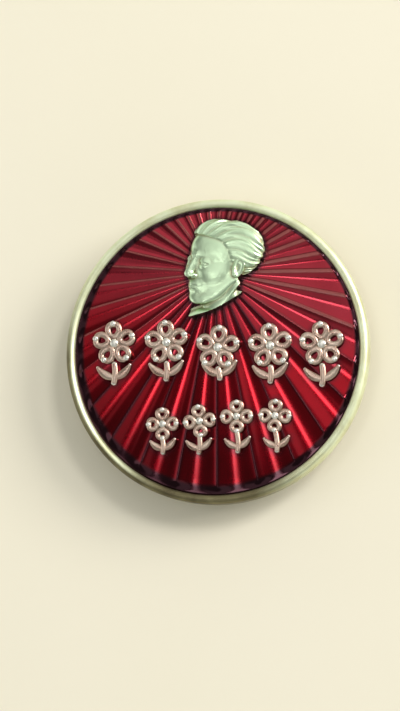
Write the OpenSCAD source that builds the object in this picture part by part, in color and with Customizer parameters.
// Round lapel badge: a pressed gilt front with a sunburst of flutes under red lacquer, an applied
// portrait relief, and on the back a bar pin with a hinged needle and a turning safety catch.
// The badge lies face up: +Z points out of its face and +Y to the top of the design. The origin
// is the centre of the flat ring that the turned edge of the front makes on the back.

/* [Body] */
// Diameter over the rim
badge_d = 40; // [38:0.5:46]
// Width of the rounded rim, seen from the front
rim_w = 1.15; // [1:0.05:1.4]
// Height of the rim's crown above the back ring
rim_h = 2.5; // [2.4:0.05:2.8]
// Thickness of the pressed sheet
sheet_t = 0.35; // [0.3:0.05:0.4]
// Width of the edge that is turned in over the back plate
turned_w = 2.4; // [1.8:0.1:2.6]
// Height of the recessed field's face above the back ring
field_z = 1.75; // [1.7:0.05:1.85]
// Thickness of the back plate
plate_t = 0.5; // [0.4:0.05:0.5]
// Thickness of the red lacquer over the field
lacquer_t = 0.2; // [0.15:0.05:0.25]

/* [Sunburst] */
// Point that the flutes spread from, across the face
sun_x = 0.3; // [-1:0.1:1]
// Point that the flutes spread from, up the face
sun_y = 10.3; // [9.5:0.1:11]
// Number of flutes in the lower fan
lower_flutes = 14; // [10:1:15]
// Number of flutes in the upper fan
upper_flutes = 21; // [16:1:23]
// Angle that the lower fan covers
lower_span = 154.5; // [140:0.5:160]
// Direction of the first crest, counted from +X
first_crest = -2.5; // [-10:0.5:5]
// Width of a crest at the field
crest_w = 0.5; // [0.4:0.05:0.5]
// Height of a crest above the field
crest_h = 0.35; // [0.3:0.05:0.4]
// Height of the lacquer's film over a crest
film_t = 0.1; // [0.05:0.05:0.15]

/* [Ornaments] */
// Width of a raised stroke
stroke_w = 0.7; // [0.6:0.05:0.75]
// Height of the raised strokes above the field
stroke_h = 0.8; // [0.6:0.05:0.9]

/* [Portrait] */
// Thickness of the portrait's flat edge
portrait_edge = 0.5; // [0.4:0.05:0.7]
// Height of the head's crown above that edge
portrait_crown = 1; // [0.8:0.05:1.2]
// Diameter of the posts that hold the portrait
post_d = 0.9; // [0.8:0.05:1]

/* [Bar pin] */
// Length of the bar
bar_l = 25.6; // [25:0.1:27]
// Width of the bar
bar_w = 4.4; // [4:0.1:5]
// Thickness of the bar
bar_t = 0.45; // [0.4:0.05:0.5]
// Height of the bar's middle above the badge's centre
bar_y = 4.5; // [3:0.5:6]
// Distance between the hinge and the middle of the catch
pin_span = 22; // [21.5:0.1:22.5]
// Height of the needle's axis over the bar
needle_lift = 1.35; // [1.35:0.05:1.6]
// Diameter of the needle
needle_d = 0.7; // [0.6:0.05:0.7]
// Diameter of the hinge pin
hinge_pin_d = 0.8; // [0.7:0.05:0.8]
// Running clearance of the hinge and of the catch, on the radius
clearance = 0.05; // [0.02:0.01:0.08]

/* [Hidden] */
$fn = 64;

badge_r = badge_d / 2;
field_r = badge_r - rim_w;              // clear radius of the field, inside the rim's wall
plate_z = sheet_t;                      // outer face of the back plate
crest_z = field_z + crest_h + film_t;   // the portrait rests on the lacquered crests
crest_start = 3;                        // the crests begin under the portrait
bite = 0.1;                             // how deep one raised shape sinks into the next
upper_span = 360 - lower_span;

bar_z = plate_z - bar_t;                // outer face of the bar
axis_z = bar_z - needle_lift;           // height of the needle's axis
hinge_x = -pin_span / 2;
catch_x = pin_span / 2;
eye_r = 0.85;
eye_w = 1.1;
ear_t = 0.45;
ear_r = 0.95;
ear_gap = eye_w + 2 * clearance;
neck_r = 0.54;                          // the neck narrows from this to the shaft
neck_l = 1.4;                           // from the hinge's axis to the start of the shaft
tip_l = 3.4;
tip_end = catch_x + 1.2;
rivet_d = 1.1;
rivet_x = 6;
rivet_head_r = 0.95;
rivet_head_h = 0.3;
post_head_r = 0.75;
post_head_h = 0.25;
post_places = [[0.4, 9.2], [1.2, 13.6]];

housing_l = 1.6;
housing_r = needle_lift;                // the housing's round back touches the bar
housing_bore = 1.05;
mouth_w = 1.15;
stake_r = 0.5;
barrel_r = housing_bore - clearance;
barrel_bore = 0.55;
slot_w = 0.95;
flange_r = 1.25;
flange_t = 0.35;
tab_reach = 2.3;
tab_w = 0.8;
tab_angle = -50;                        // from straight out, towards +Y

// each ornament: [centre x, centre y, width, height]
upper_row = [[-13.4, 0.2, 6, 8.6], [-6.4, 0.2, 6, 8.2], [0.4, -0.4, 6, 7.4],
             [7.3, -0.8, 6, 8], [14, -1.2, 6, 8.6]];
lower_row = [[-7.1, -10.3, 4.4, 6.2], [-2.2, -10.3, 4.4, 6.6], [2.7, -10.1, 4.4, 7],
             [7.7, -10.2, 4.4, 7]];

// direction of crest i, counted clockwise from the first
function crest_angle(i) = first_crest - (i < lower_flutes
    ? i * lower_span / lower_flutes
    : lower_span + (i - lower_flutes) * upper_span / upper_flutes);

// distance from the sun's middle to a circle about the badge's centre, in direction a
function reach(a, r) =
    let (along = sun_x * cos(a) + sun_y * sin(a))
    sqrt(r * r - sun_x * sun_x - sun_y * sun_y + along * along) - along;

// the pressed sheet's section: field, inner wall, round crown, outer wall and turned edge
module shell_section() {
    crown_r = rim_w / 2;
    crown_z = rim_h - crown_r;
    corner_r = sheet_t;
    translate([0, field_z - sheet_t]) square([badge_r - rim_w + sheet_t, sheet_t]);
    translate([badge_r - rim_w, field_z - sheet_t])
        square([sheet_t, crown_z - field_z + sheet_t]);
    intersection() {
        translate([badge_r - crown_r, crown_z]) difference() {
            circle(crown_r);
            circle(crown_r - sheet_t);
        }
        translate([badge_r - rim_w, crown_z]) square([rim_w, crown_r]);
    }
    translate([badge_r - sheet_t, corner_r]) square([sheet_t, crown_z - corner_r]);
    translate([badge_r - turned_w, 0]) square([turned_w - corner_r, sheet_t]);
    intersection() {
        translate([badge_r - corner_r, corner_r]) circle(corner_r);
        translate([badge_r - corner_r, 0]) square(corner_r);
    }
}

// the sharp crests between the flutes, running out into the rim's wall
module crests() {
    for (i = [0 : lower_flutes + upper_flutes - 1]) {
        angle = crest_angle(i);
        translate([sun_x, sun_y, field_z - bite]) rotate(angle) translate([crest_start, 0, 0])
            rotate([90, 0, 90]) linear_extrude(reach(angle, field_r + bite) - crest_start)
                polygon([[-crest_w / 2, 0], [crest_w / 2, 0], [0, crest_h + bite]]);
    }
}

// a flower drawn in one line: each petal is a closed loop
module blossom(petals, r) {
    petal_r = r / 2;
    difference() {
        for (i = [0 : petals - 1]) rotate(90 + i * 360 / petals) translate([petal_r, 0])
            circle(petal_r);
        for (i = [0 : petals - 1]) rotate(90 + i * 360 / petals) translate([petal_r, 0])
            circle(petal_r - stroke_w);
    }
}

// a round-ended stroke from the origin along +X
module stroke(length) {
    translate([0, -stroke_w / 2]) square([length, stroke_w]);
    circle(stroke_w / 2);
    translate([length, 0]) circle(stroke_w / 2);
}

// a flower on a stem with two leaves, filling a width and a height
module sprig(petals, w, h) {
    flower_r = w * 0.45;
    leaf_y = -h / 2 + stroke_w;
    translate([0, h / 2 - flower_r]) blossom(petals, flower_r);
    translate([0, -h / 2 + stroke_w / 2]) rotate(90) stroke(h - 2 * flower_r);
    for (side = [40, 140]) translate([0, leaf_y]) rotate(side) stroke(w * 0.4);
}

module ornaments() {
    translate([0, 0, field_z - bite]) linear_extrude(stroke_h + bite) {
        for (o = upper_row) translate([o[0], o[1]]) sprig(5, o[2], o[3]);
        for (o = lower_row) translate([o[0], o[1]]) sprig(4, o[2], o[3]);
    }
}

module post_holes() {
    for (p = post_places) translate([p[0], p[1], 0]) cylinder(d = post_d, h = crest_z);
}

module front_shell() {
    color([0.76, 0.75, 0.52]) difference() {
        union() {
            rotate_extrude($fn = 180) shell_section();
            crests();
            ornaments();
        }
        post_holes();
    }
}

// the lacquer levels out in the flutes and leaves a thin film over the crests
module red_lacquer() {
    color([0.5, 0.03, 0.1]) difference() {
        intersection() {
            union() {
                translate([0, 0, field_z]) cylinder(r = field_r, h = lacquer_t, $fn = 180);
                translate([0, 0, film_t]) crests();
            }
            translate([0, 0, field_z]) cylinder(r = field_r, h = 1, $fn = 180);
        }
        crests();
        ornaments();
        post_holes();
    }
}

// part of a ball that stands on the plane z = 0
module ball_cap(r, h) {
    ball_r = (r * r + h * h) / (2 * h);
    intersection() {
        translate([0, 0, h - ball_r]) sphere(ball_r, $fn = 96);
        cylinder(r = r + 1, h = h + 1);
    }
}

// a plain head and bust in low relief, held by two posts that are headed over behind the sheet
module portrait_relief() {
    top_z = crest_z + portrait_edge;
    color([0.8, 0.82, 0.6]) {
        translate([0, 0, crest_z]) linear_extrude(portrait_edge) {
            translate([0.9, 12.3]) circle(4.8);
            translate([-0.3, 10]) circle(3.7);
            polygon([[-2.6, 8], [-3.2, 4.4], [0.6, 5.3], [4.2, 6.9], [4.8, 9.5], [3, 12]]);
        }
        translate([0.9, 12.3, top_z]) ball_cap(4.8, portrait_crown);
        translate([-0.3, 10, top_z]) ball_cap(3.7, portrait_crown * 0.8);
        for (p = post_places) translate([p[0], p[1], field_z - sheet_t - post_head_h]) {
            cylinder(d = post_d, h = crest_z + bite - field_z + sheet_t + post_head_h);
            cylinder(r = post_head_r, h = post_head_h);
        }
    }
}

module rivet_shanks() {
    for (side = [-1, 1]) translate([side * rivet_x, bar_y, bar_z])
        cylinder(d = rivet_d, h = bar_t + plate_t);
}

module back_plate() {
    color([0.7, 0.6, 0.38]) difference() {
        translate([0, 0, plate_z]) cylinder(r = badge_r - sheet_t - 0.1, h = plate_t, $fn = 180);
        rivet_shanks();
    }
}

module bar_rivets() {
    color([0.72, 0.74, 0.76]) {
        rivet_shanks();
        for (side = [-1, 1]) translate([side * rivet_x, bar_y, 0]) {
            translate([0, 0, bar_z - rivet_head_h]) cylinder(r = rivet_head_r, h = rivet_head_h);
            translate([0, 0, plate_z + plate_t]) cylinder(r = rivet_head_r, h = rivet_head_h);
        }
    }
}

// one ear of the hinge, standing on the bar, with its hole for the hinge pin
module ear() {
    rotate([90, 0, 0]) linear_extrude(ear_t, center = true) difference() {
        union() {
            circle(ear_r);
            translate([-ear_r, 0]) square([2 * ear_r, needle_lift + bar_t / 2]);
        }
        circle(d = hinge_pin_d);
    }
}

module pin_bar() {
    flat_l = bar_l - bar_w;
    color([0.72, 0.74, 0.76]) difference() {
        union() {
            translate([0, bar_y, bar_z]) linear_extrude(bar_t) {
                square([flat_l, bar_w], center = true);
                for (side = [-1, 1]) translate([side * flat_l / 2, 0]) circle(bar_w / 2);
            }
            for (side = [-1, 1])
                translate([hinge_x, bar_y + side * (ear_gap + ear_t) / 2, axis_z]) ear();
        }
        rivet_shanks();
        translate([catch_x, bar_y, bar_z]) cylinder(r = stake_r, h = bar_t);
    }
}

module hinge_pin() {
    grip = ear_gap / 2 + ear_t;
    head_r = 0.62;
    head_t = 0.25;
    color([0.6, 0.61, 0.62]) translate([hinge_x, bar_y, axis_z]) rotate([90, 0, 0]) {
        cylinder(d = hinge_pin_d, h = 2 * grip, center = true);
        for (side = [-1, 1]) translate([0, 0, side * (grip + head_t / 2)])
            cylinder(r = head_r, h = head_t, center = true);
    }
}

// the needle: a flattened eye on the hinge pin, a tapered neck, the shaft and a long point
module needle() {
    color([0.8, 0.81, 0.83]) translate([hinge_x, bar_y, axis_z]) difference() {
        union() {
            rotate([90, 0, 0]) cylinder(r = eye_r, h = eye_w, center = true);
            rotate([0, 90, 0]) {
                cylinder(r1 = neck_r, r2 = needle_d / 2, h = neck_l);
                cylinder(d = needle_d, h = tip_end - hinge_x - tip_l);
                translate([0, 0, tip_end - hinge_x - tip_l])
                    cylinder(r1 = needle_d / 2, r2 = 0.05, h = tip_l);
            }
        }
        rotate([90, 0, 0]) cylinder(r = hinge_pin_d / 2 + clearance, h = 2, center = true);
    }
}

// a slot from the axis straight out of the badge's back, along a length of the needle
module way_out(width, length) {
    translate([-length / 2, -width / 2, -3]) cube([length, width, 3]);
}

module catch_housing() {
    color([0.72, 0.74, 0.76]) translate([catch_x, bar_y, axis_z]) {
        difference() {
            union() {
                rotate([0, 90, 0]) cylinder(r = housing_r, h = housing_l, center = true);
                translate([-housing_l / 2, -0.9, housing_r - 0.4]) cube([housing_l, 1.8, 0.4]);
            }
            rotate([0, 90, 0]) cylinder(r = housing_bore, h = housing_l + 1, center = true);
            way_out(mouth_w, housing_l + 1);
        }
        translate([0, 0, housing_r - 0.2]) cylinder(r = stake_r, h = bar_t + 0.2);
    }
}

// the turning sleeve of the catch, with a collar at each end and a thumb tab on the outer one
module catch_barrel() {
    collar_x = housing_l / 2 + clearance;
    length = 2 * (collar_x + flange_t);
    color([0.8, 0.81, 0.83]) translate([catch_x, bar_y, axis_z]) difference() {
        union() {
            rotate([0, 90, 0]) cylinder(r = barrel_r, h = length, center = true);
            for (side = [-1, 1]) translate([side * (collar_x + flange_t / 2), 0, 0])
                rotate([0, 90, 0]) cylinder(r = flange_r, h = flange_t, center = true);
            translate([collar_x, 0, 0]) rotate([tab_angle, 0, 0])
                translate([0, -tab_w / 2, -tab_reach]) cube([flange_t, tab_w, tab_reach]);
        }
        rotate([0, 90, 0]) cylinder(r = barrel_bore, h = length + 1, center = true);
        way_out(slot_w, length + 1);
    }
}

front_shell();
red_lacquer();
portrait_relief();
back_plate();
pin_bar();
bar_rivets();
hinge_pin();
needle();
catch_housing();
catch_barrel();
